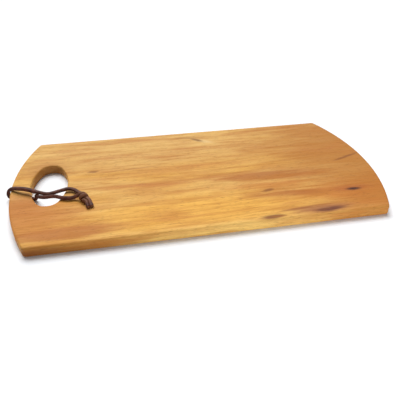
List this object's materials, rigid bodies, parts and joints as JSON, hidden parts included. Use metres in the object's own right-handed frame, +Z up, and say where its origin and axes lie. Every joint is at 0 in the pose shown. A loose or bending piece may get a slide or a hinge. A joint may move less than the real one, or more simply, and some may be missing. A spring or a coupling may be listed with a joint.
{
  "type": "serving board",
  "caption": "Long wooden serving board with bowed ends, an oval grip hole near one end and a knotted leather hanging lace looped round the rim.",
  "frame": {"origin": "centre of the board's underside, on the surface that it lies on", "axes": "+X along the board away from the grip hole, +Y across the board towards its back edge, +Z up out of the serving face"},
  "size_m": [0.4651, 0.23, 0.0223],
  "materials": {
    "wood": "oiled hardwood with a flowing golden to red-brown figure, satin",
    "leather": "dark brown round leather lace, waxed, satin"
  },
  "bodies": {
    "board": {"board": "wood", "lace_rim_turn": "leather"},
    "lace_loop": {"lace_back_strand": "leather", "lace_front_strand": "leather", "lace_knot": "leather", "lace_back_tail": "leather", "lace_front_tail": "leather"}
  },
  "joints": [
    {"name": "lace_swing", "type": "hinge", "parent": "board", "child": "lace_loop", "pos_m": [-0.1997, -0.02, 0.0206], "axis": [0, -1, 0], "range_deg": [0, 170]}
  ]
}
